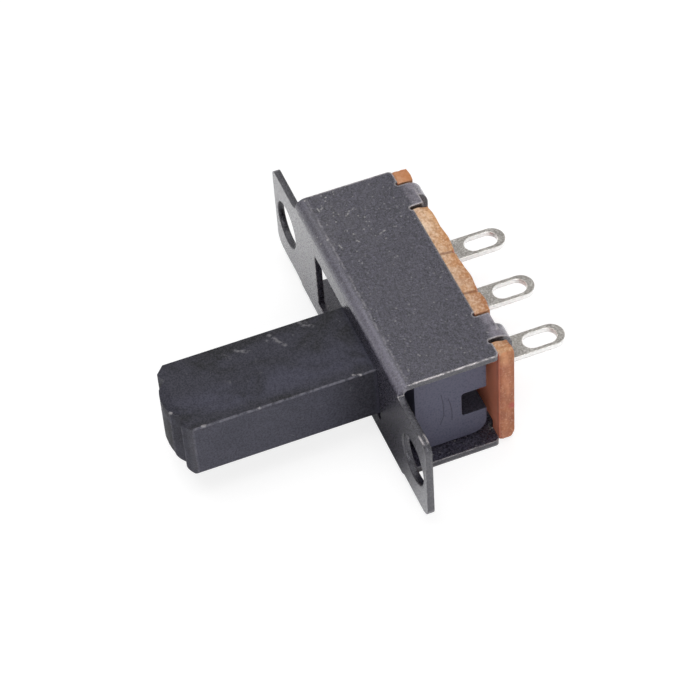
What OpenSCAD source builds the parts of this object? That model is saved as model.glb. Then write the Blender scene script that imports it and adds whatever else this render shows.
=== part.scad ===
// Miniature slide switch, one pole and two positions.
// A folded steel bracket with two fixing ears carries a terminal board.
// A moulded slider runs between the two and carries the contact clip along
// the inner blades of the three terminals.
//
// X runs along the travel, -Y points out of the panel, +Z is the upper side
// plate. The origin is the centre of the flange's front face.

/* [Flange] */
// Distance between the two fixing holes
hole_spacing = 15; // [14.8:0.1:18]
// Diameter of the fixing holes
hole_d = 2.3; // [1.6:0.1:2.8]
// Metal from the middle of a fixing hole to the tip of its ear
ear_tip = 1.5; // [1.4:0.1:3]
// How much lower the ears are than the flat of the flange, at each side
ear_step = 0.1; // [0.05:0.05:0.5]
// Corner radius of the ears on their upper side
ear_upper_r = 0.4; // [0.2:0.1:1.4]
// Corner radius of the ears on their lower side
ear_lower_r = 0.6; // [0.2:0.1:1.4]

/* [Bracket] */
// Distance from a fixing hole to the near end of the side plates
hole_inset = 1.5; // [1.2:0.1:2]
// Width over both side plates
body_w = 5.8; // [5:0.1:7]
// Depth from the front face to the back edge of the side plates
body_depth = 4.6; // [4:0.1:6]
// Thickness of the sheet
sheet_t = 0.3; // [0.25:0.05:0.4]
// Outer radius of the folds
fold_r = 0.5; // [0.46:0.02:0.7]

/* [Tabs] */
// Distance from the end of a side plate to the outer side of its tab
tab_inset = 1; // [0.6:0.1:1.6]
// Width of a tab where it leaves the plate
tab_w = 1.4; // [1.2:0.1:1.8]
// Width of the finger that folds behind the board
finger_w = 0.78; // [0.6:0.02:1]
// Outer radius of the finger's fold
finger_r = 0.7; // [0.5:0.05:0.9]
// How far the finger reaches down behind the board
finger_drop = 1.4; // [1.2:0.05:1.8]

/* [Terminal board] */
// Thickness of the board
board_t = 0.7; // [0.5:0.05:1.2]
// How far the board stands in from the ends of the side plates
board_end = 0.03; // [0.01:0.01:0.5]
// How far the board stands in from the outside of the side plates
board_edge = 0.025; // [0:0.025:0.2]

/* [Terminals] */
// Distance from one terminal to the next
pitch = 3.2; // [2.6:0.1:3.8]
// Width of a terminal
term_w = 1.25; // [1.1:0.05:1.6]
// Thickness of a terminal
term_t = 0.25; // [0.2:0.05:0.4]
// Length of a terminal behind the board
term_len = 3.55; // [2.5:0.05:5]
// How far the blade reaches in front of the board
blade_len = 1.3; // [1.1:0.05:1.7]
// Width of the wire hole
wire_w = 0.88; // [0.6:0.02:1]
// Length of the wire hole
wire_len = 1.58; // [1:0.02:2]
// Metal between the wire hole and the tip
wire_edge = 0.36; // [0.2:0.02:0.6]
// Height of the terminals from the middle of the bracket
term_z = -0.4; // [-0.6:0.1:0.6]

/* [Slider] */
// Travel between the two positions
travel = 3; // [2.5:0.1:3.6]
// Width of the handle, along the travel
handle_w = 4; // [3.4:0.1:4.6]
// Height of the handle
handle_h = 3; // [2.2:0.1:3.6]
// Length of the handle in front of the flange
handle_len = 8.9; // [4:0.1:14]
// Draft of the handle, over its whole length
draft = 0.02; // [0:0.01:0.1]
// How far the slider reaches past the handle, inside the bracket
carrier_lip = 1.75; // [1.3:0.05:2]
// Height of the channel that the blades run in
channel_h = 1.4; // [1.2:0.05:2]
// Wall between the front of the slider and the pocket for the clip
pocket_wall = 0.75; // [0.4:0.05:1]

/* [Handle end] */
// Width of each flank of the ribs
rib_step = 0.43; // [0.3:0.01:0.46]
// How far the outer corners of the end stand behind its top
corner_back = 0.72; // [0.6:0.01:1]
// How far the crests of the outer ribs stand behind the top
crest_back = 0.33; // [0.2:0.01:0.4]
// How far the valleys between the ribs stand behind the top
valley_back = 0.51; // [0.42:0.01:0.58]
// How far the edges of the crown stand behind its top
crown_back = 0.12; // [0.05:0.01:0.18]
// Radius between the underside and the ribs
rib_r = 0.35; // [0.2:0.05:0.8]
// How far the foot of the crown stands above the underside
crown_lift = 0.35; // [0.2:0.05:0.8]
// Radius at the foot of the crown
crown_r = 0.2; // [0.1:0.05:0.4]

/* [Contact clip] */
// Thickness of the clip's strip
strip_t = 0.12; // [0.08:0.01:0.16]
// Width of each jaw of the clip
jaw_w = 1.05; // [0.6:0.05:1.2]
// Depth of the closed end that joins the two jaws
bridge_len = 0.7; // [0.4:0.05:0.9]
// How far behind the front of the blade the jaws grip it
grip_back = 0.4; // [0.3:0.05:0.5]
// Radius of the bend where a jaw grips
grip_r = 0.3; // [0.2:0.05:0.4]

/* [Fits] */
// Clearance of the slider in the bracket, each side
slide_fit = 0.1; // [0.06:0.01:0.16]
// Gap between the slider and the board behind it
board_gap = 0.3; // [0.2:0.05:0.5]
// Gap between the front of a blade and the floor of its channel
blade_gap = 0.15; // [0.1:0.05:0.4]
// Gap between the handle and the slot, above and below
slot_gap = 0.1; // [0.06:0.01:0.2]
// Gap left between the handle and the slot's end at the end of the travel
slot_end = 0.25; // [0.1:0.05:0.5]
// Clearance of the clip along its pocket, each end
clip_play = 0.1; // [0.05:0.05:0.3]
// Clearance of a tab in its notch in the board, each side
notch_gap = 0.15; // [0.05:0.05:0.3]
// Clearance of a part that is pressed or folded home
seat_fit = 0.02; // [0.01:0.01:0.04]

/* [Hidden] */
$fn = 64;

// Far more than any part measures, for cutting tools that run right through
beyond = 60;
// How far two shapes of one piece run into each other where they join
overlap = 0.1;

// The side plates, the room between them and the flat of the flange
body_len = hole_spacing - 2 * hole_inset;
inner_w = body_w - 2 * sheet_t;
flat_z = body_w / 2 - fold_r;

// The ears, and the slot that the handle passes through
flange_len = hole_spacing + 2 * ear_tip;
ear_h = 2 * (flat_z - ear_step);
slot_len = handle_w + travel + 2 * slot_end;
slot_h = handle_h + 2 * slot_gap;

// The board seats on the back edges of the side plates
board_y = body_depth;
board_back = board_y + board_t;
board_len = body_len - 2 * board_end;
board_h = body_w - 2 * board_edge;
tab_reach = body_len / 2 - tab_inset;

// The slider stands at the +X end of its travel
handle_x = travel / 2;

// The slider's runners fill the flange between the slot and the folds
runner_gap = 0.05;
runner_len = 0.67;
runner_y = sheet_t + slide_fit / 2;
runner_z = (slot_h / 2 + flat_z) / 2;
runner_h = flat_z - slot_h / 2 - 2 * runner_gap;

// Front, back and size of the slider inside the bracket
carrier_y = runner_y + runner_len;
carrier_back = board_y - board_gap;
carrier_len = handle_w + 2 * carrier_lip;
carrier_h = inner_w - 2 * slide_fit;
root_y = carrier_y + overlap;

// The channel that the blades run in, and the deeper pocket for the clip
blade_y = board_y - blade_len;
channel_y = blade_y - blade_gap;
pocket_y = carrier_y + pocket_wall;

// The contact clip spans two terminals, from its closed end to its mouth
clip_len = pitch + jaw_w;
clip_y = pocket_y + seat_fit;
clip_h = channel_h - 2 * slide_fit;
grip_y = blade_y + grip_back;
grip_gap = term_t + 2 * seat_fit;

// Half widths of the ends of the handle and its crown, and where the corners,
// crests, valleys and crown edges of the end lie
rib_half = handle_w / 2 - draft;
crown_half = rib_half - 3 * rib_step;
corner_y = handle_len - corner_back;
crest_y = handle_len - crest_back;
valley_y = handle_len - valley_back;
crown_y = handle_len - crown_back;

// ---------------------------------------------------------------- helpers

// Rectangle with round corners
module rounded_rect(size, r) {
    square([size.x - 2 * r, size.y], center = true);
    square([size.x, size.y - 2 * r], center = true);
    for (x = [-1, 1], y = [-1, 1])
        translate([x * (size.x / 2 - r), y * (size.y / 2 - r)]) circle(r);
}

// Rectangle whose upper corners and lower corners have their own radius
module two_radius_rect(size, upper_r, lower_r) {
    x = size.x / 2;
    z = size.y / 2;
    translate([upper_r - x, 0]) square([size.x - 2 * upper_r, z]);
    translate([-x, lower_r - z]) square([size.x, size.y - lower_r - upper_r]);
    translate([lower_r - x, -z]) square([size.x - 2 * lower_r, z]);
    for (s = [-1, 1]) {
        translate([s * (x - upper_r), z - upper_r]) circle(upper_r);
        translate([s * (x - lower_r), lower_r - z]) circle(lower_r);
    }
}

// Slot with half-round ends, its length along Y
module stadium(w, len) {
    square([w, len - w], center = true);
    for (y = [-1, 1]) translate([0, y * (len - w) / 2]) circle(d = w);
}

// Section drawn in Y and Z, run along X about the middle
module along_x(len) {
    rotate([90, 0, 90]) translate([0, 0, -len / 2]) linear_extrude(len) children();
}

// Outline drawn in X and Z, run along +Y from y
module along_y(y, len) {
    translate([0, y + len, 0]) rotate([90, 0, 0]) linear_extrude(len) children();
}

// Outline drawn in X and Y, run along Z about z
module along_z(z, h) {
    translate([0, 0, z - h / 2]) linear_extrude(h) children();
}

// Both sides of the middle plane, along X or along Z
module both_x() { children(); mirror([1, 0, 0]) children(); }
module both_z() { children(); mirror([0, 0, 1]) children(); }

// ---------------------------------------------------------------- bracket

// Box section with its two front corners round and its back square
module trough(depth, w, r) {
    translate([r, -w / 2]) square([depth - r, w]);
    translate([0, r - w / 2]) square([2 * r, w - 2 * r]);
    for (z = [-1, 1]) translate([r, z * (w / 2 - r)]) circle(r);
}

// The folded sheet, seen along X
module fold_section() {
    difference() {
        trough(body_depth, body_w, fold_r);
        translate([sheet_t, 0]) trough(body_depth, inner_w, fold_r - sheet_t);
    }
}

// Side plates with their back corners broken
module plate_plan() {
    corner_r = 0.2;
    rounded_rect([body_len, 2 * body_depth], corner_r);
}

// Ear outline: full height beside the folds, then down a short slope
module ear_outline() {
    slope_len = 0.35;
    near = [body_len / 2, flat_z];
    far = [body_len / 2 + slope_len, ear_h / 2];
    two_radius_rect([flange_len, ear_h], ear_upper_r, ear_lower_r);
    polygon([[-far.x, -far.y], [-near.x, -near.y], [near.x, -near.y], [far.x, -far.y],
             [far.x, far.y], [near.x, near.y], [-near.x, near.y], [-far.x, far.y]]);
}

// Finger folded down behind the board, seen along X
module finger_section() {
    z = body_w / 2;
    back = board_back + seat_fit + sheet_t;
    front = body_depth - sheet_t;
    translate([front, z - sheet_t]) square([back - finger_r - front, sheet_t]);
    translate([back - sheet_t, z - finger_drop]) square([sheet_t, finger_drop - finger_r]);
    translate([back - finger_r, z - finger_r]) intersection() {
        difference() {
            circle(finger_r);
            circle(finger_r - sheet_t);
        }
        square(2 * finger_r);
    }
}

// One tab: a shoulder that lies over the board's edge, and the finger
module tab() {
    shoulder_len = board_t - 0.14;
    translate([tab_reach - tab_w, body_depth - sheet_t, body_w / 2 - sheet_t])
        cube([tab_w - finger_w / 2, sheet_t + shoulder_len, sheet_t]);
    translate([tab_reach - finger_w / 2, 0, 0]) along_x(finger_w) finger_section();
}

// Round nicks beside the tabs, where the sheet was relieved
module tab_nicks() {
    nick_r = 0.13;
    for (x = [tab_reach - tab_w - nick_r, tab_reach + nick_r])
        translate([x, body_depth, 0]) cylinder(r = nick_r, h = body_w);
}

// Slot for the handle and the two fixing holes, seen along Y
module flange_cuts() {
    corner_r = 0.15;
    rounded_rect([slot_len, slot_h], corner_r);
    for (x = [-1, 1]) translate([x * hole_spacing / 2, 0]) circle(d = hole_d);
}

module bracket() {
    color("dimgray") difference() {
        union() {
            intersection() {
                along_x(body_len) fold_section();
                along_z(0, body_w) plate_plan();
            }
            along_y(0, sheet_t) ear_outline();
            both_x() both_z() tab();
        }
        along_y(-overlap, sheet_t + 2 * overlap) flange_cuts();
        both_x() both_z() tab_nicks();
    }
}

// ----------------------------------------------------------------- slider

// Handle seen along its length: the upper edges are sharper than the lower
module handle_section() {
    upper_r = 0.1;
    lower_r = 0.3;
    two_radius_rect([handle_w, handle_h], upper_r, lower_r);
}

// Handle seen along X: its underside, raised by lift, runs round into the end
module handle_side(end, lift, r) {
    root = handle_h / 2;
    tip = root - draft;
    difference() {
        polygon([[root_y, lift - root], [root_y, root], [-end, tip], [-end, lift - tip]]);
        translate([-end, lift - tip]) difference() {
            translate([-overlap, -overlap]) square(r + overlap);
            translate([r, r]) circle(r);
        }
    }
}

// Plan of the outer ribs: each side rises to a crest and falls to a valley
module rib_plan() {
    edge = [[handle_w / 2, root_y], [rib_half, -corner_y],
            [rib_half - rib_step, -crest_y], [rib_half - 2 * rib_step, -valley_y]];
    polygon(concat([for (p = edge) [-p.x, p.y]], [for (i = [3 : -1 : 0]) edge[i]]));
}

// Plan of the middle rib, whose flanks rise from the valleys to the crown
module flank_plan() {
    base = crown_half + rib_step;
    polygon([[-base, 0], [-base, -valley_y], [-crown_half, -crown_y],
             [crown_half, -crown_y], [base, -valley_y], [base, 0]]);
}

// Plan of the crown, a shallow arc between the flanks of the middle rib
module crown_plan() {
    rise = handle_len - crown_y;
    r = (crown_half * crown_half + rise * rise) / (2 * rise);
    intersection() {
        translate([-crown_half, -handle_len]) square([2 * crown_half, handle_len]);
        translate([0, r - handle_len]) circle(r);
    }
}

// The handle: two outer ribs across its end, and a middle one with a crown
module handle() {
    intersection() {
        union() {
            intersection() {
                along_z(0, handle_h) rib_plan();
                along_x(handle_w) handle_side(crest_y, 0, rib_r);
            }
            intersection() {
                along_z(0, handle_h) flank_plan();
                along_x(handle_w) handle_side(crown_y, 0, rib_r);
            }
            intersection() {
                along_z(0, handle_h) crown_plan();
                along_x(handle_w) handle_side(handle_len, crown_lift, crown_r);
            }
        }
        along_y(-handle_len, handle_len + root_y) handle_section();
    }
}

// Section of the slider inside the bracket, with its two back corners round
module carrier_section() {
    corner_r = 0.7;
    back = carrier_back - corner_r;
    translate([carrier_y, -carrier_h / 2]) square([back - carrier_y, carrier_h]);
    translate([carrier_y, corner_r - carrier_h / 2])
        square([carrier_back - carrier_y, carrier_h - 2 * corner_r]);
    for (z = [-1, 1]) translate([back, z * (carrier_h / 2 - corner_r)]) circle(corner_r);
}

// Runner that slides on the inside of the flange, seen along Y
module runner_outline() {
    inset = 0.5;
    rounded_rect([carrier_len - 2 * inset, runner_h], runner_h / 4);
}

// Section of the channel for the blades, or of the deeper pocket for the clip
module channel_section(front, corner_r) {
    h = channel_h / 2;
    translate([front + corner_r, -h]) square([beyond, channel_h]);
    translate([front, corner_r - h]) square([beyond, channel_h - 2 * corner_r]);
    for (z = [-1, 1]) translate([front + corner_r, z * (h - corner_r)]) circle(corner_r);
}

module slider() {
    channel_r = 0.15;
    pocket_r = 0.3;
    color("darkslategray") translate([handle_x, 0, 0]) difference() {
        union() {
            handle();
            along_x(carrier_len) carrier_section();
            for (z = [-1, 1]) translate([0, 0, z * runner_z])
                along_y(runner_y, runner_len + overlap) runner_outline();
        }
        translate([0, 0, term_z]) {
            along_x(beyond) channel_section(channel_y, channel_r);
            along_x(clip_len + 2 * clip_play) channel_section(pocket_y, pocket_r);
        }
    }
}

// ----------------------------------------------------------- contact clip

// Unit vector square to the line from a to b
function normal(a, b) = let (d = b - a) [-d.y, d.x] / norm(d);

// Point i of a line of points, moved sideways by s, with mitred corners
function shifted(p, i, s) =
    let (n = len(p) - 1,
         u = normal(p[max(i - 1, 0)], p[max(i, 1)]),
         v = normal(p[min(i, n - 1)], p[min(i + 1, n)]))
    p[i] + s * (u + v) / (1 + u * v);

// Strip of even thickness along a line of points
module strip(p, t) {
    polygon(concat([for (i = [0 : len(p) - 1]) shifted(p, i, t / 2)],
                   [for (i = [len(p) - 1 : -1 : 0]) shifted(p, i, -t / 2)]));
}

// Upper half of the clip's middle line, seen along X: a round corner at the
// closed end, a leaf down to the bend that grips the blade, and a flared mouth
function clip_line(half, grip) =
    let (front = clip_y + strip_t / 2,
         corner_r = 0.35,
         mouth_gap = 0.05)
    concat([for (a = [0 : 15 : 90]) [front + corner_r * (1 - cos(a)), half - corner_r * (1 - sin(a))]],
           [for (a = [-15 : 10 : 35]) [grip_y + grip_r * sin(a), grip + grip_r * (1 - cos(a))]],
           [[carrier_back - mouth_gap, half - mouth_gap]]);

module clip_section() {
    upper = clip_line((clip_h - strip_t) / 2, (grip_gap + strip_t) / 2);
    last = len(upper) - 1;
    strip(concat([for (i = [last : -1 : 0]) [upper[i].x, -upper[i].y]], upper), strip_t);
}

module contact_clip() {
    waist = pitch - jaw_w;
    color("goldenrod") translate([handle_x, 0, term_z]) difference() {
        along_x(clip_len) clip_section();
        translate([-waist / 2, clip_y + bridge_len, -clip_h]) cube([waist, beyond, 2 * clip_h]);
    }
}

// --------------------------------------------------------- terminal board

module board_outline() {
    corner_r = 0.25;
    notch_w = tab_w + 2 * notch_gap;
    notch_z = body_w / 2 - finger_r - seat_fit;
    difference() {
        rounded_rect([board_len, board_h], corner_r);
        for (x = [-1, 1], z = [-1, 1])
            translate([x * (tab_reach - tab_w / 2), z * (notch_z + beyond / 2)])
                square([notch_w, beyond], center = true);
        for (i = [-1 : 1]) translate([i * pitch, term_z])
            square([term_w + 2 * seat_fit, term_t + 2 * seat_fit], center = true);
    }
}

module terminal_board() {
    color("peru") along_y(board_y, board_t) board_outline();
}

// -------------------------------------------------------------- terminals

// Tag with a round end and a wire hole behind the board, shoulders that
// stop it against the front of the board, and a blade inside
module terminal(i) {
    tip = board_back + term_len;
    shoulder_w = 0.25;
    shoulder_len = 0.3;
    color("silver") translate([i * pitch, 0, 0]) along_z(term_z, term_t) difference() {
        union() {
            translate([-term_w / 2, blade_y]) square([term_w, tip - term_w / 2 - blade_y]);
            translate([0, tip - term_w / 2]) circle(d = term_w);
            translate([-term_w / 2 - shoulder_w, board_y - shoulder_len - seat_fit])
                square([term_w + 2 * shoulder_w, shoulder_len]);
        }
        translate([0, tip - wire_edge - wire_len / 2]) stadium(wire_w, wire_len);
    }
}

module terminal_left() { terminal(-1); }
module terminal_middle() { terminal(0); }
module terminal_right() { terminal(1); }

bracket();
slider();
contact_clip();
terminal_board();
terminal_left();
terminal_middle();
terminal_right();
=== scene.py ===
# %% [markdown]
# # A miniature slide switch
# The switch is a folded steel bracket with two ears. A black slider with a long
# handle runs inside it, and a board of brown laminate closes its back and holds
# three solder tags. The packed model gives every part at its real size, so this
# script adds what the parts are made of: old satin paint with worn edges, greyish
# black plastic, paper laminate with rough sheared edges, and tinned metal.

# %% Load the packed model
import math

import bpy
from mathutils import Matrix, Vector


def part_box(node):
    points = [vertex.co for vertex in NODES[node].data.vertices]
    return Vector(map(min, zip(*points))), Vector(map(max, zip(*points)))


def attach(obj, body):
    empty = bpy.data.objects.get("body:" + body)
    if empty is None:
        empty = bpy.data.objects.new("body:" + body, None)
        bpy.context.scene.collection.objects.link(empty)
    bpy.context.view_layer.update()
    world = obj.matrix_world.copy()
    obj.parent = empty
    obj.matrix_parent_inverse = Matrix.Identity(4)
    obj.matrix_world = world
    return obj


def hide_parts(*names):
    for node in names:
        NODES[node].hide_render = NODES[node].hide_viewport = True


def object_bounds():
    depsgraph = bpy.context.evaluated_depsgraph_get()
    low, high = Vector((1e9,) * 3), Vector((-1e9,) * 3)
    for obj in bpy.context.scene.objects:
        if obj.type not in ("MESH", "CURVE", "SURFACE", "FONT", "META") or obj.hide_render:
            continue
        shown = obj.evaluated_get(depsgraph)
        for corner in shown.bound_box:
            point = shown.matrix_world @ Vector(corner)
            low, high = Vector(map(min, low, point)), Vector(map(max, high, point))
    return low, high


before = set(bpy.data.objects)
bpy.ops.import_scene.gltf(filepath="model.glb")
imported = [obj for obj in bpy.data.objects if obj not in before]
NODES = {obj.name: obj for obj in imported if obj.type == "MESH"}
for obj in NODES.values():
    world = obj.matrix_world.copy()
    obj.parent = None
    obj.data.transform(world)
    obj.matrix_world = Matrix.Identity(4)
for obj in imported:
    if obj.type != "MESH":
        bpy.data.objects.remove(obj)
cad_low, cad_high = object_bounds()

MM = 0.001
scene = bpy.context.scene
scene.view_settings.view_transform = "Standard"
print("parts:", ", ".join(sorted(NODES)))

# %% [markdown]
# The switch is seen from its open end, from above, and from a little in front.
# A long lens keeps its edges nearly parallel. The camera stands on a sphere
# round the middle of the switch, so two angles and a distance place it, and a
# third angle tips it about its own line of sight.

# %% Camera
LENS = 131.0  # millimetres
CAMERA_DISTANCE = 111.0 * MM
CAMERA_AZIMUTH = math.radians(71.74)  # from the front, -Y, towards the open end, +X
CAMERA_ELEVATION = math.radians(48.16)
CAMERA_ROLL = math.radians(-4.33)
AIM = Vector((0.25, 0.0, -0.56)) * MM


def direction(azimuth, elevation):
    """Unit vector from the switch towards something at these two angles."""
    level = math.cos(elevation)
    return Vector((math.sin(azimuth) * level, -math.cos(azimuth) * level, math.sin(elevation)))


def facing(back, roll=0.0):
    """Turn of an object whose own -Z looks away from back, tipped by roll."""
    right = Vector((0, 0, 1)).cross(back).normalized()
    turn = Matrix((right, back.cross(right), back)).transposed()
    return (turn @ Matrix.Rotation(roll, 3, "Z")).to_4x4()


def place_camera():
    camera = bpy.data.objects.new("camera", bpy.data.cameras.new("camera"))
    scene.collection.objects.link(camera)
    camera.data.lens = LENS
    camera.data.clip_start = 10 * MM
    camera.data.clip_end = 10.0
    out = direction(CAMERA_AZIMUTH, CAMERA_ELEVATION)
    place = Matrix.Translation(AIM + CAMERA_DISTANCE * out)
    camera.matrix_world = place @ facing(out, CAMERA_ROLL)
    scene.camera = camera
    return camera


print("camera at", [round(v, 4) for v in place_camera().location])

# %% [markdown]
# A finish is a web of nodes, and long webs are hard to read. The class Wire
# stands for one output of a node, and arithmetic on wires adds Math nodes, so
# a mask can be written as 1 - wear * grain. The nodes could be placed one by
# one and linked by hand, but then such a line would take ten.

# %% Wires
class Wire:
    """One output of a node. Arithmetic on it adds Math nodes."""

    def __init__(self, web, socket):
        self.web = web
        self.socket = socket

    def out(self, name):
        """Another output of the same node."""
        return Wire(self.web, self.socket.node.outputs[name])

    def math(self, operation, *values):
        return self.web.node("Math", {"operation": operation}, dict(enumerate(values)))

    def __add__(self, other):
        return self.math("ADD", self, other)

    def __sub__(self, other):
        return self.math("SUBTRACT", self, other)

    def __rsub__(self, other):
        return self.math("SUBTRACT", other, self)

    def __mul__(self, other):
        return self.math("MULTIPLY", self, other)

    def __abs__(self):
        return self.math("ABSOLUTE", self)

    __radd__ = __add__
    __rmul__ = __mul__

    def most(self, other):
        """The larger of the two."""
        return self.math("MAXIMUM", self, other)

    def least(self, other):
        """The smaller of the two."""
        return self.math("MINIMUM", self, other)

    def step(self, start, end, low=0.0, high=1.0):
        """Smoothly from low, where this value is start, to high, where it is end."""
        inputs = {"From Min": start, "From Max": end, "To Min": low, "To Max": high}
        settings = {"interpolation_type": "SMOOTHSTEP"}
        return self.web.node("MapRange", settings, {"Value": self, **inputs})


print("arithmetic on a Wire:", [name for name in vars(Wire) if name.startswith("__r")])

# %% [markdown]
# Every other node comes from one method of a web. It takes the node's type, then
# its settings, which decide what sockets it has, and last what goes into these.
# Vectors and colours have nodes of their own, because a Math node would turn a
# colour grey.

# %% Webs of nodes
class Web:
    """A node tree, and the one method that fills it."""

    def __init__(self, tree):
        self.tree = tree
        tree.nodes.clear()

    def node(self, kind, settings=None, inputs=None, output=0):
        """Adds a node and returns one of its outputs. Wires are linked, other values set."""
        node = self.tree.nodes.new("ShaderNode" + kind)
        for name, value in (settings or {}).items():
            setattr(node, name, value)
        for key, value in (inputs or {}).items():
            if isinstance(value, Wire):
                self.tree.links.new(value.socket, node.inputs[key])
            else:
                node.inputs[key].default_value = value
        return Wire(self, node.outputs[output]) if node.outputs else None

    def vector(self, operation, first, second=None, output=0, **more):
        """Vector arithmetic."""
        inputs = {0: first, **more}
        if second is not None:
            inputs[1] = second
        return self.node("VectorMath", {"operation": operation}, inputs, output)

    def mix(self, factor, first, second):
        """The colour first where factor is 0, and second where it is 1."""
        settings = {"data_type": "RGBA"}
        return self.node("Mix", settings, {0: factor, 6: first, 7: second}, output=2)


print("a web adds nodes by", [name for name in vars(Web) if not name.startswith("_")])

# %% [markdown]
# The light is that of a small white tent. The world gives even light from all
# sides, and three large soft lamps add some direction. The eye and the gloss
# see the tent brighter than it shines, which costs no contrast: Light Path
# tells those rays apart. Towards its top the tent looks darker, because a pale
# room mostly has its lamps at the sides.

# %% The tent
TENT_LIGHT = 0.15  # even light, where 1 shows a white card as white
TENT_TOP = 0.42  # how bright the gloss sees the tent straight above


def seen(web):
    """1 for rays that show a thing itself, 0 for rays that gather soft light."""
    path = web.node("LightPath")
    return path.most(path.out("Is Glossy Ray")).most(path.out("Is Transmission Ray"))


def build_tent():
    world = bpy.data.worlds.new("tent")
    world.use_nodes = True
    scene.world = world
    web = Web(world.node_tree)
    height = web.node("SeparateXYZ", inputs={0: web.node("TexCoord")}, output="Z")
    glossy = web.node("LightPath").out("Is Glossy Ray")
    bright = 1.0 - glossy * height.step(0.0, 1.0, 0.0, 1.0 - TENT_TOP)
    eye = seen(web)
    strength = eye * bright + (1.0 - eye) * TENT_LIGHT
    back = web.node("Background", inputs={"Color": (1, 1, 1, 1), "Strength": strength})
    web.node("OutputWorld", inputs={"Surface": back})
    return world


print("world:", build_tent().name)

# %% [markdown]
# A lamp's power says nothing about how bright a card looks. This helper takes
# the level instead, the share of white that the lamp alone gives a card that
# faces it, and works the power out from the distance.

# %% Lamps
LAMP_DISTANCE = 0.25


def add_lamp(name, azimuth, elevation, size, level):
    """Square soft lamp that shines on the switch from these angles, in degrees."""
    data = bpy.data.lights.new(name, "AREA")
    data.size = size
    data.energy = level * math.pi ** 2 * LAMP_DISTANCE ** 2
    lamp = bpy.data.objects.new(name, data)
    scene.collection.objects.link(lamp)
    out = direction(math.radians(azimuth), math.radians(elevation))
    lamp.matrix_world = Matrix.Translation(LAMP_DISTANCE * out) @ facing(out)
    return lamp


LAMPS = (
    ("lamp_above", -60, 86, 0.24, 0.62),
    ("lamp_left", -78, 35, 0.16, 0.16),
    ("lamp_end", 84, 30, 0.12, 0.42),
)
for name, *numbers in LAMPS:
    print(add_lamp(name, *numbers).name, "level", numbers[-1])

# %% [markdown]
# The switch lies on a white sheet that fills the view. The sheet takes the
# switch's shadow as any white sheet does. Part of what the eye sees of it is
# an even glow, which lifts the sheet to the white of the tent. The gloss sees
# the sheet brighter, but nearly black in the corner between the handle and the
# flange, where hardly any light comes in.

# %% Floor
FLOOR_SIZE = 3.0
FLOOR_GAP = 0.004 * MM
SHEET_GREY = 0.82  # share of the light that the sheet sends back
SHEET_GLOSS = 1.8  # how bright the gloss sees the sheet
GLOW_SHARE = 0.55  # share of the sheet's look that is glow
GLOW_LEVEL = 1.38
DARK_CORNER = (0.004, -0.0004, 0.0)
DARK_CORE, DARK_REACH = 0.0005, 0.0038
DARK_DEPTH = 0.9


def white_sheet():
    """Grey paper under a glow, which the gloss sees bright, and dark in the corner."""
    material = bpy.data.materials.new("white_sheet")
    material.use_nodes = True
    web = Web(material.node_tree)
    path = web.node("LightPath")
    flat = web.vector("MULTIPLY", web.node("NewGeometry"), (1, 1, 0))
    away = web.vector("DISTANCE", flat, DARK_CORNER, output="Value")
    gloss = (1.0 - away.step(DARK_REACH, DARK_CORE, 0.0, DARK_DEPTH)) * SHEET_GLOSS
    grey = path.out("Is Glossy Ray") * (gloss - SHEET_GREY) + SHEET_GREY
    colour = web.node("CombineColor", inputs={0: grey, 1: grey, 2: grey})
    paper = web.node("BsdfDiffuse", inputs={"Color": colour})
    glow = web.node("Emission", inputs={"Strength": GLOW_LEVEL})
    sheet = web.node("MixShader", inputs={0: path * GLOW_SHARE, 1: paper, 2: glow})
    web.node("OutputMaterial", inputs={"Surface": sheet})
    return material


def lay_floor():
    place = (0, 0, cad_low[2] - FLOOR_GAP)
    bpy.ops.mesh.primitive_plane_add(size=FLOOR_SIZE, location=place)
    floor = bpy.context.object
    floor.name = "floor"
    floor.data.materials.append(white_sheet())
    return floor


print("floor at", round(lay_floor().location.z / MM, 3), "mm")

# %% [markdown]
# A finish is worked in millimetres on the part itself, so a pattern moves with
# the part and keeps its size. Two things come back in every finish: noise and
# worn edges. The edges could be bevelled in the mesh, but the packed parts stay
# as they are, so the Bevel node finds them: it gives the normal that the surface
# would have with rounded edges, and where that differs from the flat one, there
# is an edge.

# %% Finishes
def tone(red, green, blue):
    """Colour given as it looks on a screen, 0 to 255."""
    parts = [value / 255 for value in (red, green, blue)]
    light = [((v + 0.055) / 1.055) ** 2.4 if v > 0.04045 else v / 12.92 for v in parts]
    return (*light, 1.0)


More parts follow.
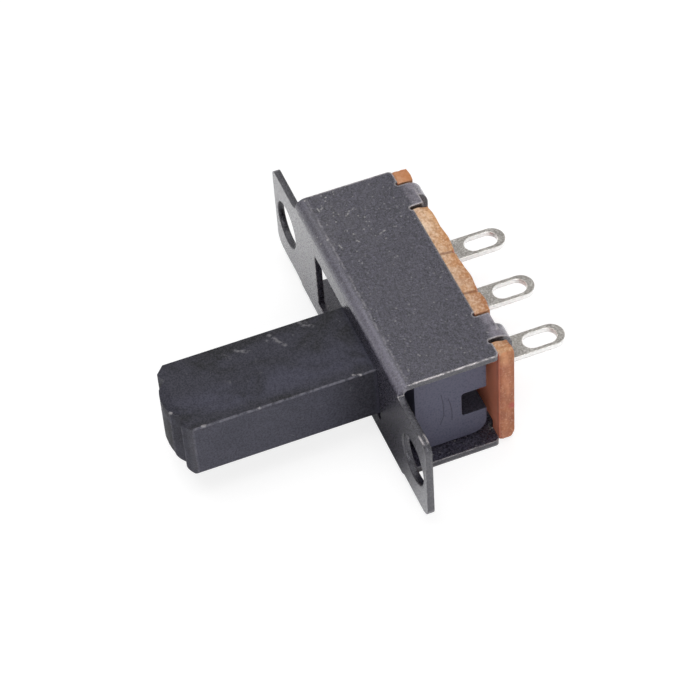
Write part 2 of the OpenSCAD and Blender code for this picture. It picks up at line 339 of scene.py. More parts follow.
class Finish(Web):
    """The web of a material, worked in millimetres on the part."""

    def __init__(self, name):
        self.material = bpy.data.materials.new(name)
        self.material.use_nodes = True
        super().__init__(self.material.node_tree)
        self.place = self.vector("SCALE", self.node("TexCoord", output="Object"), Scale=1 / MM)
        self.x, self.y, self.z = self.axes(self.place)
        self.normal = self.node("NewGeometry", output="Normal")
        self.nx, self.ny, self.nz = self.axes(self.normal)

    def axes(self, vector):
        apart = self.node("SeparateXYZ", inputs={0: vector})
        return [apart.out(name) for name in "XYZ"]

    def noise(self, scale, detail, rough=0.5,
              stretch=(1, 1, 1), shift=(0, 0, 0), swirl=0.0):
        """Noise of 0 to 1 with scale lumps to a millimetre."""
        inputs = {"Vector": self.place, "Scale": stretch, "Location": shift}
        where = self.node("Mapping", inputs=inputs)
        inputs = {"Scale": scale, "Detail": detail, "Roughness": rough, "Distortion": swirl}
        return self.node("TexNoise", inputs={"Vector": where, **inputs})

    def round_normal(self, radius):
        return self.node("Bevel", {"samples": 6}, {"Radius": radius * MM})

    def edge(self, rounded, low, high):
        """1 on the edges that the rounded normal finds, 0 on the flats."""
        return self.vector("DOT_PRODUCT", rounded, self.normal, output="Value").step(low, high)

    def bump(self, height, depth, normal=None):
        """Height of 0 to 1, depth millimetres deep."""
        inputs = {"Height": height, "Distance": depth * MM}
        if normal is not None:
            inputs["Normal"] = normal
        return self.node("Bump", inputs=inputs)

    def finish(self, **sockets):
        """Ends the web in a Principled shader. Words in a socket's name are joined by _."""
        inputs = {name.replace("_", " "): value for name, value in sockets.items()}
        shader = self.node("BsdfPrincipled", inputs=inputs)
        self.node("OutputMaterial", inputs={"Surface": shader})
        return self.material


def wear_on(material, *names):
    """Puts a material on packed parts."""
    for name in names:
        materials = NODES[name].data.materials
        materials.clear()
        materials.append(material)
    print(material.name, "on", ", ".join(names))


print("middle grey sends back", round(tone(128, 128, 128)[0], 2), "of the light")

# %% [markdown]
# Other marks lie at a place of their own: a scuff, a scratch, a crack, a stain.
# A spot comes from the distance to its middle, and a stroke from the distance to
# a line. Specks of dust are the middles of a few Voronoi cells, and hairlines
# run where a noise passes its middle. All of them stay sharp from close by,
# which an image would not.

# %% Marks
class WornFinish(Finish):
    """A finish with marks at chosen places, as masks of 0 to 1."""

    def spot(self, centre, radius):
        """1 at centre, and 0 from radius on."""
        return self.vector("DISTANCE", self.place, centre, output="Value").step(radius, 0.0)

    def stroke(self, start, end, width):
        """1 along the line from start to end, and 0 at width from it."""
        run = Vector(end) - Vector(start)
        offset = self.vector("SUBTRACT", self.place, start)
        along = self.vector("DOT_PRODUCT", offset, tuple(run), output="Value")
        share = (along * (1 / run.length_squared)).most(0.0).least(1.0)
        nearest = self.vector("SCALE", tuple(run), Scale=share)
        return self.vector("DISTANCE", offset, nearest, output="Value").step(width, 0.0)

    def strokes(self, lines, width):
        """The lines, each a start and an end, all as one mask."""
        total = 0.0
        for start, end in lines:
            total = self.stroke(start, end, width) + total
        return total.least(1.0)

    def specks(self, scale, radius, share, shift=(0, 0, 0)):
        """Round specks with that radius, in a share of the cells."""
        where = self.node("Mapping", inputs={"Vector": self.place, "Location": shift})
        cell = self.node("TexVoronoi", inputs={"Vector": where, "Scale": scale})
        chance = self.node("SeparateColor", inputs={0: cell.out("Color")})
        speck = cell.step(radius * scale, 0.3 * radius * scale)
        return speck * chance.step(1 - share, 1 - share + 0.01)

    def hairs(self, scale, width, shift):
        """Thin curved lines, where noise passes its middle."""
        level = self.noise(scale, 1.0, 0.4, shift=shift, swirl=0.4)
        return abs(level - 0.5).step(width, 0.0)


def at_height(lines, z):
    """Lines (x, y, x, y) as starts and ends at height z."""
    return [((x, y, z), (to_x, to_y, z)) for x, y, to_x, to_y in lines]


print("marks:", [name for name in vars(WornFinish) if not name.startswith("_")])

# %% [markdown]
# The bracket's paint is thin, stoved on, and has the fine pebbled skin of old
# machine paint. It is a violet grey that looks black in the hand. A worn finish
# is best built up in the order in which it came about: each layer is a mix of
# the colour so far and a new one, by a mask that says where. It could be painted
# on an image, but masks need none and keep their grain from close by. The
# pebbles and the dust come first. The dust lies thicker towards the front left,
# and a few scratches cross the upper plate.

# %% Bracket: skin, dust and scratches
PLATE_Z = 2.9  # outer face of the upper plate
SCRATCHES = (
    (-5.14, 0.77, -4.95, 0.79), (-4.95, 0.79, -5.10, 0.97),
    (-4.20, 1.80, -4.42, 1.97), (-4.42, 1.97, -4.52, 2.24),
    (-2.68, 0.83, -2.39, 0.88), (-2.70, 2.99, -2.57, 2.70),
    (-2.75, 3.44, -2.72, 3.53), (-3.36, 1.38, -3.33, 1.46),
    (-3.05, 1.64, -3.00, 1.70), (-2.60, 1.62, -2.52, 1.70),
)


def pebbled_skin(web, skin, patches, front_left):
    """The paint, with painted highlights on its pebbles, and dust that has stuck to it."""
    colour = web.mix(skin, tone(4, 4, 10), tone(70, 67, 81))
    # painted highlights: pale specks where the pebbles would catch the light
    pebble_highlights = web.specks(6.5, 0.07, 0.3, shift=(2, 7, 1))
    colour = web.mix(pebble_highlights * 0.34, colour, tone(124, 120, 134))
    colour = web.mix(patches.step(0.45, 0.65) * 0.3, colour, tone(66, 64, 72))
    dusty = front_left * patches.step(0.35, 0.6) * 0.2
    return web.mix(dusty, colour, tone(84, 81, 80))


def loose_marks(web, front_left):
    """1 on loose dust and in scratches."""
    dust = web.specks(3.2, 0.065, 0.3) + web.specks(5.0, 0.05, 0.22, shift=(5, 5, 5))
    scratch = web.strokes(at_height(SCRATCHES, PLATE_Z), 0.06)
    scratch = scratch * web.noise(9.0, 2.0).step(0.35, 0.6)
    return (dust * (0.5 + front_left * 0.8) * 0.7).most(scratch * 0.7).least(1.0)


print("scratches on the plate:", len(SCRATCHES))

# %% [markdown]
# The bend is painted lighter than the plate, more towards the open end, as a painted sheen
# where it mirrors the bright sheet, and a faint bright worn line runs along its back. The
# folding tool polished the tabs that hold the board. The sides of the tabs are painted dark,
# and the cut ends of the plates and the sides of the ears nearly black, as painted shade.

# %% Bracket: bend, tabs and cut sides
BEND_BACK = 0.47  # how far behind the front face the bend ends
PLATE_BACK = 4.5  # where the plates end and the tabs begin


def bend_sheen_and_worn_line(web, colour, bend, grain):
    """Paints sheen on the bend, more towards the open end, and draws the worn line behind it.
    """
    # painted sheen: the bend is painted lighter where it mirrors the bright sheet, more
    # towards the open end
    painted_sheen = bend * web.x.step(-5.0, 5.0, 0.15, 0.7) * grain.step(0.2, 0.6, 0.5, 1.0)
    colour = web.mix(painted_sheen, colour, tone(118, 114, 127))
    drift = web.noise(1.5, 2.0, shift=(7, 0, 0)) * 0.12
    line = abs(web.y - BEND_BACK - drift).step(0.08, 0.0) * abs(web.z).step(2.85, 2.89)
    line = line * web.noise(5.0, 3.0, 0.7, shift=(0, 5, 0)).step(0.35, 0.65)
    return web.mix(line * 0.6, colour, tone(158, 154, 158))


def polish_tabs_and_shade_cuts(web, colour, tab, painted_shade_cut):
    """Lightens the tabs, and paints shade on their sides and on the other cut sides."""
    colour = web.mix(tab * 0.75, colour, tone(136, 130, 140))
    # painted shade on the sides of the tabs
    side = abs(web.nx).step(0.5, 0.8) * web.y.step(PLATE_BACK, 4.6)
    colour = web.mix(side * 0.85, colour, tone(44, 42, 42))
    # painted shade, nearly black, on the cut ends of the plates and the sides of the ears
    return web.mix(painted_shade_cut * 0.7, colour, tone(16, 15, 18))


print("plates, from bend to tabs:", round(PLATE_BACK - BEND_BACK, 2), "mm")

# %% [markdown]
# Where the sheet was cut, the paint is gone from its edges, and the steel shows
# in broken, shining rims. A Bevel node with a larger radius finds a wider edge,
# so it serves for the rims that are worn most: those at the open ends and along
# the back of the plates. The ears kept their paint but for a few rubbed places.

# %% Bracket: bare rims
WORN_EAR = (  # place on an ear's edge, and how far round it the paint is rubbed
    ((8.45, 0.15, 2.25), 0.4), ((7.2, 0.12, 2.68), 0.3),
    ((5.9, 0.15, 2.6), 0.35), ((-7.0, 0.3, 2.6), 0.3),
)


def cut_rims(web, narrow, bend, cut_end, chips):
    """1 on the rims of the plates and tabs."""
    back = web.y.step(4.3, PLATE_BACK)
    rim = narrow * chips.step(0.42, 0.62) * (1.0 - bend)
    wide = web.edge(web.round_normal(0.13), 0.9995, 0.95)
    wide = wide * web.z.step(2.68, 2.8).most(web.z.step(0.0, -1.0))
    open_end = abs(web.x).step(5.8, 5.9) * web.y.step(0.6, 0.9)
    worn_most = open_end.most(back * web.z.step(0.0, 2.0))
    rim = rim.most(wide * worn_most * chips.step(0.38, 0.54, 0.3, 1.0))
    rim = rim.most(wide * back * web.z.step(2.5, 2.7) * 0.7)
    low_edge = abs(web.z).step(2.76, 2.66) * cut_end
    between_tabs = abs(web.x).step(3.3, 3.1) * back
    rim = rim * (1.0 - low_edge * 0.8) * (1.0 - between_tabs * 0.55)
    return rim * web.z.step(-2.0, 0.0, 0.65, 1.0) * web.y.step(4.6, 4.8, 1.0, 0.75)


def ear_rims(web, rim, ear, ridge, chips):
    """Takes the rims off the ears, and bares a few places there instead."""
    rim = rim * (1.0 - ear * 0.8)
    for centre, radius in WORN_EAR:
        place = web.spot(centre, radius).step(0.0, 0.5)
        rim = rim.most(place * ridge * chips.step(0.35, 0.5))
    return rim


print("rubbed places on the ears:", len(WORN_EAR))

# %% [markdown]
# The layers now come together in one material. Its masks are worked out first,
# from where a point lies and which way it faces. The bare steel is a little
# metallic, and the pebbles, the dust and the scratches also feed a Bump node.

# %% Bracket paint
def bracket_paint():
    web = WornFinish("bracket_paint")
    grain = web.noise(7.0, 2.0, 0.6)
    sand = web.noise(14.0, 3.0, 0.8, shift=(4, 4, 4))
    patches = web.noise(1.1, 3.0, 0.6, shift=(3, 1, 2))
    chips = web.noise(4.0, 5.0, 0.7, shift=(1, 2, 3))
    skin = grain.step(0.36, 0.64) * 0.3 + sand.step(0.38, 0.62) * 0.7

    # where: the dusty corner, the bend, the tabs, the ears and the cut sides
    front_left = web.x.step(0.0, -5.0) * web.y.step(3.5, 0.5)
    bend = web.y.step(0.5, 0.35) * abs(web.z).step(2.4, 2.6)
    tab = web.y.step(4.55, 4.95) * web.noise(2.0, 3.0, 0.6, shift=(6, 0, 0)).step(0.25, 0.55)
    ear = abs(web.x).step(6.0, 6.3)
    ear_side = ear * abs(web.ny).step(0.6, 0.3)
    cut_end = web.nx.step(0.6, 0.9) * web.y.step(0.4, 0.6) * web.y.step(4.6, PLATE_BACK)

    # the colour, layer by layer
    colour = pebbled_skin(web, skin, patches, front_left)
    colour = bend_sheen_and_worn_line(web, colour, bend, grain)
    marks = loose_marks(web, front_left)
    colour = web.mix(marks, colour, tone(180, 177, 174))
    # the tabs lightened by wear, and the cut sides darkened as painted shade
    colour = polish_tabs_and_shade_cuts(web, colour, tab, cut_end.most(ear_side))

    # the edges, rounder on the ears, and the steel along them
    narrow, wide = web.round_normal(0.08), web.round_normal(0.17)
    rounded = web.mix(ear, narrow, wide)
    rim = cut_rims(web, web.edge(narrow, 0.998, 0.92), bend, cut_end, chips)
    rim = ear_rims(web, rim, ear, web.edge(wide, 0.999, 0.97) * ear_side, chips)
    colour = web.mix(rim * 0.85, colour, tone(214, 208, 209))
    height = grain * 0.6 + sand * 0.6 + patches * 0.3 - marks * 0.4
    return web.finish(
        Base_Color=colour,
        Metallic=rim * 0.5,
        Roughness=skin.step(0.2, 0.8, 0.22, 0.34) - tab * 0.04,
        Specular_IOR_Level=0.75,
        Specular_Tint=(0.93, 0.93, 1.0, 1.0),
        Normal=web.bump(height, 0.02, rounded),
    )


wear_on(bracket_paint(), "bracket")

# %% [markdown]
# The slider is moulded in a greyish black plastic. Handling has polished the
# handle, so its top shows cloudy zones and a bluish band along its near half.
# Its side is painted greyer and lighter than the top, as painted light from the bright sheet
# beside it, and painted shade darkens it near the root, by the flange. The body inside the
# bracket kept the dull skin of the mould, and the channel along its back, where the tags'
# blades run, is painted nearly black as painted shade. These zones need no seams in the mesh:
# where a point lies and which way it faces tells them apart.

# %% Slider: cloudy plastic
CHANNEL_Z, CHANNEL_HALF = -0.4, 0.75  # middle and half height of the channel


def cloudy_handle(web, clouds):
    """The handle's cloudy top, its band, and its side, painted lighter as painted light, with
    painted shade at the root.
    """
    colour = web.mix(clouds.step(0.38, 0.62), tone(6, 8, 7), tone(38, 38, 48))
    band = web.x.step(1.2, 2.2) * web.x.step(3.4, 2.6) * web.nz.step(0.5, 0.9)
    colour = web.mix(band * clouds.step(0.3, 0.6) * 0.6, colour, tone(64, 64, 80))
    # painted light: the side, which mirrors the bright sheet, is painted lighter than the top
    side = web.nx.step(0.5, 0.9)
    colour = web.mix(side * 0.8, colour, tone(60, 60, 72))
    # painted shade near the root, by the flange
    root = side * web.y.step(-2.6, -0.5) * clouds.step(0.25, 0.5, 0.6, 1.0)
    return web.mix(root * 0.85, colour, tone(16, 16, 22))


def dull_body(web, handle, colour):
    """The body behind the handle, with its channel in painted shade and its darker lower half.
    """
    colour = web.mix(handle, tone(90, 90, 108), colour)
    # painted shade: the channel's walls, in shadow inside the bracket, are painted nearly
    # black
    channel = web.y.step(2.9, 3.1) * abs(web.nx).step(0.6, 0.3)
    channel = channel * abs(web.z - CHANNEL_Z).step(CHANNEL_HALF, CHANNEL_HALF - 0.03)
    colour = web.mix(channel * 0.95, colour, tone(12, 12, 17))
    low_half = web.z.step(0.8, -2.4) * web.y.step(0.0, 0.4)
    return web.mix(low_half * 0.55, colour, tone(66, 66, 82))


print("dark channel:", 2 * CHANNEL_HALF, "mm high")

# %% [markdown]
# The handle's top carries short pale scuffs and a few stray hairlines. A light,
# chipped line runs along its near edge and down the ribs of its end, and there
# are bright nicks on that edge. A tool left two thin arcs on the end face of the
# body. Marks as few as these are best placed one by one, as short strokes, and
# then broken up by noise.

# %% Slider: scuffs, worn edges and nicks
HANDLE_TOP = 1.5
NICK_Z = 1.46  # just below the top, where its edge turns down
BODY_END = 5.25  # the end face that shows
SCUFFS = (
    (-0.45, -2.10, -0.25, -1.75), (-0.20, -1.95, 0.05, -1.57), (0.00, -5.05, 0.20, -4.75),
    (0.15, -4.95, 0.33, -4.55), (-0.20, -3.45, 0.10, -3.30), (0.20, -3.25, 0.60, -3.01),
    (0.05, -3.60, 0.12, -3.35),
)
NICKS = (
    (3.36, -0.98, 3.44, -0.90), (3.43, -0.76, 3.46, -0.68), (2.17, -8.76, 2.22, -8.70),
    (3.42, -7.74, 3.44, -7.60), (3.44, -5.34, 3.45, -5.20),
)
RIB_EDGES = ((2.19, -8.78), (3.05, -8.57), (3.48, -8.18))  # x and y of the upright edges
TOOL_ARCS = (  # y and z of the points along each arc
    ((2.54, 0.29), (2.62, -0.01), (2.70, -0.57), (2.69, -1.16)),
    ((2.23, 0.69), (2.30, 0.14), (2.33, -0.66), (2.13, -1.22)),
)


def scuff_handle(web, colour, handle):
    """Pale scuffs and stray hairlines on the top."""
    broken = web.noise(6.0, 4.0, 0.7, stretch=(1, 0.6, 1)).step(0.42, 0.6)
    scuff = web.strokes(at_height(SCUFFS, HANDLE_TOP), 0.15) * broken
    stray = web.hairs(0.8, 0.012, shift=(4, 2, 0))
    stray = stray * web.noise(2.2, 3.0, 0.7).step(0.55, 0.7) * 0.35
    return web.mix((scuff * 0.7).most(stray * handle), colour, tone(124, 122, 126))


def wear_edges(web, colour, handle, edge, chips):
    """The light line along the handle's edges, and the nicks on it."""
    near_edge = (web.x + web.z - web.y * 0.005).step(4.9, 4.96) * handle
    lines = [((x, y, -1.3), (x, y, 1.4)) for x, y in RIB_EDGES]
    ribs = web.strokes(lines, 0.10)
    worn = near_edge.most(ribs * 0.5).most(edge * 0.4 * handle)
    colour = web.mix(worn * chips.step(0.36, 0.62, 0.15, 0.75), colour, tone(124, 122, 132))
    nicks = web.strokes(at_height(NICKS, NICK_Z), 0.09) * chips.step(0.36, 0.56)
    return web.mix(nicks * 0.85, colour, tone(190, 186, 188))


def tool_arcs(web):
    """1 along the arcs on the end face."""
    lines = [
        ((BODY_END, *start), (BODY_END, *end))
        for points in TOOL_ARCS for start, end in zip(points, points[1:])
    ]
    return web.strokes(lines, 0.035)


print(len(SCUFFS), "scuffs,", len(NICKS), "nicks,", len(TOOL_ARCS), "arcs")

# %% [markdown]
# The skin of the mould is a fine, sharp grain. It lies under the marks and over
# all the rest. The same noise feeds the colour and a Bump node, so the grain
# catches the light where it is pale, and not one face has to be added.

# %% Slider moulding
def black_moulding():
    web = WornFinish("black_moulding")
    rounded = web.round_normal(0.07)
    edge = web.edge(rounded, 0.99, 0.8)
    clouds = web.noise(0.55, 4.0, 0.6, stretch=(1, 0.6, 1), swirl=0.6)
    skin = web.noise(12.0, 2.0, 0.55)
    sand = web.noise(13.0, 3.0, 0.75, shift=(3, 3, 3))
    chips = web.noise(4.0, 5.0, 0.7, shift=(5, 5, 5))
    handle = web.y.step(0.4, -0.2)
    ribbed_end = web.y.step(-8.3, -8.5)

    colour = dull_body(web, handle, cloudy_handle(web, clouds))
    colour = web.mix(sand.step(0.38, 0.62) * 0.24, colour, tone(100, 98, 110))
    colour = web.mix(sand.step(0.5, 0.34) * 0.4, colour, tone(30, 30, 38))
    colour = scuff_handle(web, colour, handle)
    colour = wear_edges(web, colour, handle, edge, chips)
    arcs = tool_arcs(web)
    colour = web.mix(arcs * 0.7, colour, tone(44, 43, 52))
    height = skin * 0.5 + sand * 0.4 + clouds * 0.5 - arcs * 0.8
    return web.finish(
        Base_Color=colour,
        Roughness=clouds.step(0.3, 0.7, 0.6, 0.48) + ribbed_end * 0.15,
        Specular_IOR_Level=0.22,
        Normal=web.bump(height, 0.010, rounded),
    )


wear_on(black_moulding(), "slider")

# %% [markdown]
# The contact clip is a strip of spring bronze. Rolling left fine lines along
# the strip, which are too thin to model, so a noise that is stretched draws
# them. A second noise makes cloudy places that have gone darker and duller.

# %% Spring bronze
def spring_bronze():
    web = Finish("spring_bronze")
    rounded = web.round_normal(0.03)
    rolled = web.noise(6.0, 3.0, 0.6, stretch=(4, 0.4, 1))
    tarnish = web.noise(1.2, 3.0, 0.6)
    colour = web.mix(rolled.step(0.3, 0.7), tone(196, 150, 96), tone(226, 184, 128))
    colour = web.mix(tarnish.step(0.5, 0.75) * 0.6, colour, tone(128, 86, 52))
    return web.finish(
        Base_Color=colour,
        Metallic=1.0,
        Roughness=rolled.step(0.3, 0.7, 0.24, 0.38) + tarnish.step(0.5, 0.75) * 0.12,
        Normal=web.bump(rolled, 0.002, rounded),
    )


wear_on(spring_bronze(), "contact_clip")

# %% [markdown]
# The board was punched out of a sheet of paper laminate, cold, so its sides are
# torn more than cut. It is modelled in edit mode, as by hand. The operators there
# work on what is selected, so a helper picks faces, edges or points by a test,
# and another cuts all faces along a plane.

# %% Picking and cutting
BOARD_LOW, BOARD_HIGH = [Vector(corner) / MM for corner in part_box("terminal_board")]
MESH_PARTS = {"FACE": "polygons", "EDGE": "edges", "VERT": "vertices"}


def deselect_all():
    for thing in bpy.context.selected_objects:
        thing.select_set(False)


def pick(piece, kind, wanted):
    """Selects the faces, edges or points of a mesh in edit mode that are wanted."""
    bpy.ops.mesh.select_all(action="DESELECT")
    bpy.ops.mesh.select_mode(type=kind)
    bpy.ops.object.mode_set(mode="OBJECT")
    for part in getattr(piece.data, MESH_PARTS[kind]):
        part.select = wanted(part)
    bpy.ops.object.mode_set(mode="EDIT")


def cut_plane(axis, place):
    """Cuts all faces along a plane square to that axis."""
    normal = Vector([float(name == axis) for name in "XYZ"])
    bpy.ops.mesh.select_all(action="SELECT")
    bpy.ops.mesh.bisect(plane_co=normal * place * MM, plane_no=normal)


print("board's box in mm:", [round(v, 2) for v in BOARD_HIGH - BOARD_LOW])

# %% [markdown]
# The board starts as a flat outline: a plane is cut by lines where the notches
# and the slots for the tags lie, and the faces in them are deleted. The outline
# is then pushed out to the thickness of the board. A box and a few booleans would
# do as well, but this way every cut is one line, and all the walls are straight.

# %% Outline of the board
NOTCH_X = (3.45, 5.15)  # from one side of a notch to the other
NOTCH_Z = 2.18
TAG_PITCH = 3.2
TAG_SLOT_HALF, TAG_SLOT_LOW, TAG_SLOT_HIGH = 0.645, -0.545, -0.255


def in_opening(face):
    """Whether a face lies in a notch or in the slot of a tag."""
    middle = face.center / MM
    across = min(abs(middle.x - tag * TAG_PITCH) for tag in (-1, 0, 1))
    in_slot = across < TAG_SLOT_HALF and TAG_SLOT_LOW < middle.z < TAG_SLOT_HIGH
    in_notch = NOTCH_X[0] < abs(middle.x) < NOTCH_X[1] and abs(middle.z) > NOTCH_Z
    return in_slot or in_notch


def board_plane(size):
    """A plane the size of the board's front face, in edit mode."""
    deselect_all()
    bpy.ops.mesh.primitive_plane_add(size=MM, rotation=(math.pi / 2, 0, 0))
    board = bpy.context.object
    board.name = "laminate_board"
    board.scale = (size.x, size.z, 1)
    board.location = (0, BOARD_LOW.y * MM, 0)
    bpy.ops.object.transform_apply(location=True, rotation=True, scale=True)
    bpy.ops.object.mode_set(mode="EDIT")
    return board


def board_outline():
    size = BOARD_HIGH - BOARD_LOW
    board = board_plane(size)
    for side in (-1, 1):
        for x in NOTCH_X:
            cut_plane("X", side * x)
        cut_plane("Z", side * NOTCH_Z)
    for tag in (-1, 0, 1):
        for side in (-1, 1):
            cut_plane("X", tag * TAG_PITCH + side * TAG_SLOT_HALF)
    cut_plane("Z", TAG_SLOT_LOW)
    cut_plane("Z", TAG_SLOT_HIGH)
    pick(board, "FACE", in_opening)
    bpy.ops.mesh.delete(type="FACE")
    bpy.ops.mesh.select_all(action="SELECT")
    bpy.ops.mesh.extrude_region_move(TRANSFORM_OT_translate={"value": (0, size.y * MM, 0)})
    bpy.ops.mesh.select_all(action="SELECT")
    bpy.ops.mesh.normals_make_consistent(inside=False)
    return board


board = board_outline()
print("outline:", len(board.data.polygons), "faces")

# %% [markdown]
# The corners of the punch were round. At the open end the front edge is worn,
# and the lower back corner has been knocked off. A few large faces can't be torn
# or pushed about, so the Remesh modifier then lays many small even ones.

# %% Corners and fine mesh
CORNERS = (  # side in x, side in z, radius
    (-1, 1, 0.12), (-1, -1, 0.25), (1, 1, 0.25), (1, -1, 0.35),
)
WORN_FRONT, KNOCKED_OFF = 0.16, 0.22  # radii at the open end
VOXEL = 0.06  # side of a face that Remesh lays


def near(value, target):
    return abs(value - target) < 0.01


def round_edges(test, radius, segments):
    """Rounds the board's edges whose two ends pass the test, in millimetres."""

    def wanted(edge):
        return all(test(board.data.vertices[i].co / MM) for i in edge.vertices)

    pick(board, "EDGE", wanted)
    bpy.ops.mesh.bevel(offset=radius * MM, segments=segments)


def on_worn_front(point):
    return point.x > 5.4 and near(point.y, BOARD_LOW.y)


def on_knocked_corner(point):
    return point.x > 5.1 and point.z < -2.5 and near(point.y, BOARD_HIGH.y)


def round_corners():
    for x, z, radius in CORNERS:
        corner = Vector((x * BOARD_HIGH.x, 0, z * BOARD_HIGH.z))
        round_edges(lambda at: near(at.x, corner.x) and near(at.z, corner.z), radius, 5)
    round_edges(on_worn_front, WORN_FRONT, 4)
    round_edges(on_knocked_corner, KNOCKED_OFF, 4)


def apply_modifier(piece, kind, **settings):
    modifier = piece.modifiers.new(kind.lower(), kind)
    for name, value in settings.items():
        setattr(modifier, name, value)
    bpy.ops.object.modifier_apply(modifier=modifier.name)


round_corners()
bpy.ops.object.mode_set(mode="OBJECT")
apply_modifier(board, "REMESH", mode="VOXEL", voxel_size=VOXEL * MM)
print("board:", len(board.data.vertices), "points")

# %% [markdown]
# The back edge was torn in lumps, with a seam between two of them where the
# laminate cracked. It could be sculpted with a brush, but a few pulls are enough.
# Each is made with proportional editing, which takes the points round the pulled
# one along, less and less with distance.

# %% Torn edge
PULLS = (  # place along the edge, pull backwards, pull upwards, reach
    (-5.5, 0.04, 0.0, 0.5), (-3.4, 0.0, -0.10, 0.5), (-2.6, 0.03, 0.0, 0.8),
    (-1.2, 0.07, 0.0, 0.9), (-0.35, -0.08, -0.04, 0.2), (0.1, -0.03, 0.0, 0.5),
    (1.3, 0.06, 0.0, 0.7), (2.2, -0.06, -0.04, 0.18), (2.8, 0.07, 0.0, 0.6),
    (5.2, 0.0, -0.14, 0.6),
)


def pull_edge(x, back, up, reach):
    """Moves the upper back rim at x, and what lies within reach of it along."""
    rim = Vector((x, BOARD_HIGH.y, BOARD_HIGH.z)) * MM
    nearest = min(board.data.vertices, key=lambda point: (point.co - rim).length).index
    bpy.ops.object.mode_set(mode="EDIT")
    pick(board, "VERT", lambda point: point.index == nearest)
    bpy.ops.transform.translate(
        value=(0, back * MM, up * MM), use_proportional_edit=True,
        proportional_edit_falloff="SMOOTH", proportional_size=reach * MM,
    )
    bpy.ops.object.mode_set(mode="OBJECT")


for pull in PULLS:
    pull_edge(*pull)
print("pulled the edge in", len(PULLS), "places")

# %% [markdown]
# A bump in the material would make the sides look rough and leave their outline
# straight, so Displace modifiers tear the mesh itself, first in waves and then
# finely. A vertex group keeps the two faces flat, as the resin skin held. The
# finished board rides on the housing and takes the place of the packed one.

# %% Torn sides
TEARS = (("waves", 0.55, 0.10), ("fibres", 0.13, 0.05))  # name, size of a lump, strength
TEAR_MIDDLE = 0.55  # above a half, so that more is torn away than stands out


def tear_sides():
    """Pushes the sides in and out, and leaves the faces as they are."""
    group = board.vertex_groups.new(name="torn")
    for point in board.data.vertices:
        flat = abs(point.normal.y)
        group.add([point.index], max(0.0, 1.0 - 1.2 * flat), "REPLACE")
    for name, lump, strength in TEARS:
        clouds = bpy.data.textures.new(name, "CLOUDS")
        clouds.noise_scale = lump * MM
        clouds.noise_depth = 2
        apply_modifier(
            board, "DISPLACE", texture=clouds, texture_coords="LOCAL",
            vertex_group="torn", strength=strength * MM, mid_level=TEAR_MIDDLE,
        )
    board.vertex_groups.clear()


tear_sides()
deselect_all()
board.select_set(True)
bpy.ops.object.shade_smooth_by_angle(angle=math.radians(50))
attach(board, "housing")
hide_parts("terminal_board")
print("board reaches y", round(max(point.co.y for point in board.data.vertices) / MM, 2))

# %% [markdown]
# The board is paper laminate: sheets of paper in brown resin, pressed hard. Its
# torn long sides are paler than the rest, creamy next to the plate where the
# punch came in and orange brown where it broke out. Noise of three sizes makes
# the layers, the fibres and the mottled resin, and each brings its own colour.

# %% Laminate: torn long sides
def torn_sides(web, layers, fibres, mottle):
    """Colour of the long sides, lighter towards the closed end but brown at its corner."""
    depth = web.y.step(4.6, 5.35)
    across = web.x.step(3.5, -4.0)
    pale = web.mix(across, tone(204, 164, 134), tone(248, 222, 194))
    deep = web.mix(across, tone(172, 114, 74), tone(212, 156, 102))
    core = web.mix(depth, pale, deep)
    core = web.mix(mottle.step(0.42, 0.58) * 0.6, core, tone(196, 136, 84))
    core = web.mix(layers.step(0.46, 0.66) * 0.45, core, tone(162, 104, 64))
    core = web.mix(fibres.step(0.44, 0.66) * 0.42, core, tone(250, 228, 202))
    core = web.mix(fibres.step(0.5, 0.34) * 0.2, core, tone(146, 90, 54))
    return web.mix(web.x.step(-5.0, -5.2) * 0.75, core, tone(190, 120, 74))


print("torn sides:", round(BOARD_HIGH.y - BOARD_LOW.y, 2), "mm deep")

# %% [markdown]
# The open end is redder, most of all at its front, and yellower at the top. It
# shows upright fibres, darker and paler streaks, and a small red stain. Noise
# that is stretched upwards gives the fibres their direction.

# %% Laminate: open end
STAIN, STAIN_SIZE = (5.95, 5.22, -0.6), 0.34


def open_end(web, fibres, mottle):
    """Colour of the end that shows."""
    upright = web.noise(7.0, 4.0, 0.7, stretch=(1.0, 1.6, 0.45), swirl=0.5)
    streaks = web.noise(2.2, 2.0, 0.5, stretch=(1, 1.6, 0.7), shift=(1, 6, 2))
    red = web.mix(web.y.step(4.6, 4.85), tone(162, 88, 66), tone(196, 134, 106))
    red = web.mix(web.y.step(4.95, 5.2) * 0.8, red, tone(168, 106, 78))
    red = web.mix(web.z.step(1.8, -1.5) * 0.5, red, tone(152, 94, 72))
    red = web.mix(web.z.step(1.9, 2.5) * 0.6, red, tone(216, 160, 116))
    red = web.mix(upright.step(0.5, 0.64) * 0.4, red, tone(156, 88, 66))
    red = web.mix(mottle.step(0.4, 0.6) * 0.35, red, tone(190, 124, 84))
    red = web.mix(streaks.step(0.46, 0.64) * 0.35, red, tone(140, 84, 60))
    red = web.mix(streaks.step(0.46, 0.32) * 0.3, red, tone(214, 156, 120))
    red = web.mix(fibres.step(0.5, 0.7) * 0.32, red, tone(236, 192, 160))
    return web.mix(web.spot(STAIN, STAIN_SIZE) * 0.6, red, tone(186, 74, 84))


print("stain:", 2 * STAIN_SIZE, "mm across")

# %% [markdown]
# The two faces of the board have a reddish satin skin, and two cracks run across its upper
# side. The front face is painted brighter, as painted light inside the bracket, where the
# plate shades it. Face, long side and end are told apart by which way the surface faces, and
# the cracks are short strokes, dark and deep.

# %% Paper laminate
CRACKS = ((-0.42, -0.30), (2.14, 2.24))  # where each crosses the front and the back
CRACK_Y = (4.6, 5.4)
CRACK_Z = 2.85


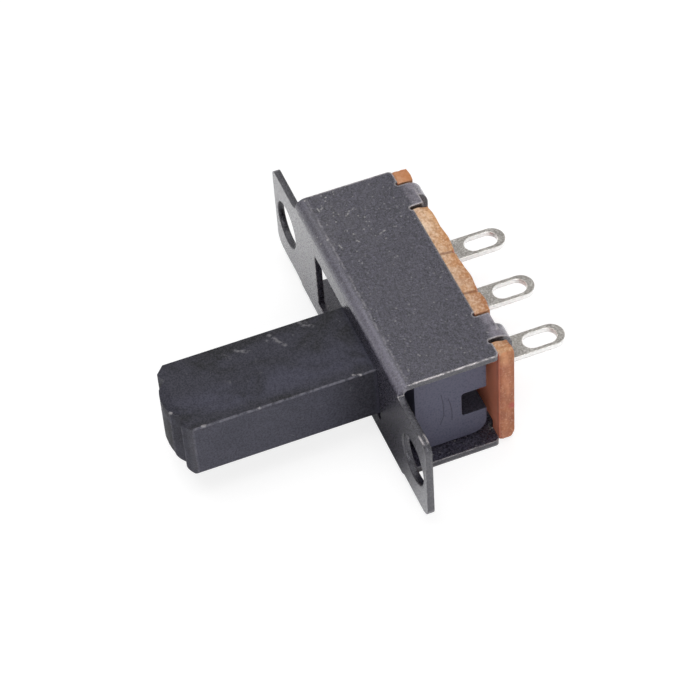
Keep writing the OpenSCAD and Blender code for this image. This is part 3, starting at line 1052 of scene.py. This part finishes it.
def satin_faces(web, fibres, mottle):
    """Colour of the two faces, with painted light on the front one."""
    skin = web.mix(mottle.step(0.3, 0.7), tone(206, 116, 92), tone(220, 136, 110))
    skin = web.mix(fibres.step(0.5, 0.7) * 0.35, skin, tone(230, 160, 130))
    # painted light on the front face, which the plate shades, short of the open end
    front = web.ny.step(-0.4, -0.8) * web.x.step(5.8, 5.6)
    return web.mix(front * 0.9, skin, tone(255, 160, 128))


def paper_laminate():
    web = WornFinish("paper_laminate")
    face = abs(web.ny).step(0.6, 0.85)
    end = web.nx.step(0.5, 0.8)
    layers = web.noise(3.2, 3.0, 0.6, stretch=(1.1, 2.0, 1.1), swirl=0.4)
    fibres = web.noise(8.5, 3.0, 0.7, shift=(2, 2, 2))
    mottle = web.noise(1.5, 4.0, 0.65, shift=(8, 3, 1))

    core = torn_sides(web, layers, fibres, mottle)
    core = web.mix(end, core, open_end(web, fibres, mottle))
    colour = web.mix(face, core, satin_faces(web, fibres, mottle))
    front, back = CRACK_Y
    lines = [((x, front, CRACK_Z), (to_x, back, CRACK_Z)) for x, to_x in CRACKS]
    cracks = web.strokes(lines, 0.13) * (1.0 - face)
    colour = web.mix(cracks * 0.75, colour, tone(122, 76, 50))
    height = layers * 0.4 + fibres * 0.7 + mottle * 0.5 - cracks * 1.2
    return web.finish(
        Base_Color=colour,
        Roughness=0.78 - face * 0.34,
        Specular_IOR_Level=0.35,
        Normal=web.bump(height * (1.0 - face * 0.85), 0.026),
    )


board.data.materials.append(paper_laminate())
wear_on(board.data.materials[0], "terminal_board")

# %% [markdown]
# The solder tags are punched brass with a coat of tin. The tin is a soft grey
# white with fine lines from rolling, and the rims that the punch rounded over
# are brighter. The flat sides are dull and sandy, most of all next to the board,
# and the narrow sides are grey and grainy. On a metal the colour is that of its
# reflections, so a darker colour alone makes the tin look dull.

# %% Tinned brass
def tinned_brass():
    web = Finish("tinned_brass")
    rounded = web.round_normal(0.07)
    edge = web.edge(rounded, 0.998, 0.9)
    rolled = web.noise(6.0, 3.0, 0.65, stretch=(3.0, 0.6, 1))
    cloudy = web.noise(2.2, 4.0, 0.65)
    sand = web.noise(11.0, 3.0, 0.8, stretch=(1.4, 0.9, 1))
    top = abs(web.nz).step(0.5, 0.9)
    dull = top * (0.65 + 0.3 * web.y.step(7.2, 5.6))
    colour = web.mix(rolled.step(0.3, 0.7), tone(206, 202, 197), tone(238, 235, 230))
    colour = web.mix(dull * cloudy.step(0.2, 0.55), colour, tone(150, 146, 141))
    colour = web.mix(sand.step(0.42, 0.56) * top * 0.75, colour, tone(120, 116, 111))
    colour = web.mix(edge * 0.85, colour, tone(250, 247, 241))
    colour = web.mix((1.0 - top) * 0.8, colour, tone(206, 208, 208))
    colour = web.mix((1.0 - top) * sand.step(0.45, 0.6) * 0.4, colour, tone(170, 170, 169))
    return web.finish(
        Base_Color=colour,
        Metallic=1.0,
        Roughness=rolled.step(0.3, 0.7, 0.28, 0.44) - edge * 0.08,
        Normal=web.bump(rolled * 0.6 + cloudy * 0.6 + sand * 0.3, 0.012, rounded),
    )


wear_on(tinned_brass(), "terminal_left", "terminal_middle", "terminal_right")

# %% [markdown]
# The new pieces must stay inside the packed model's box.
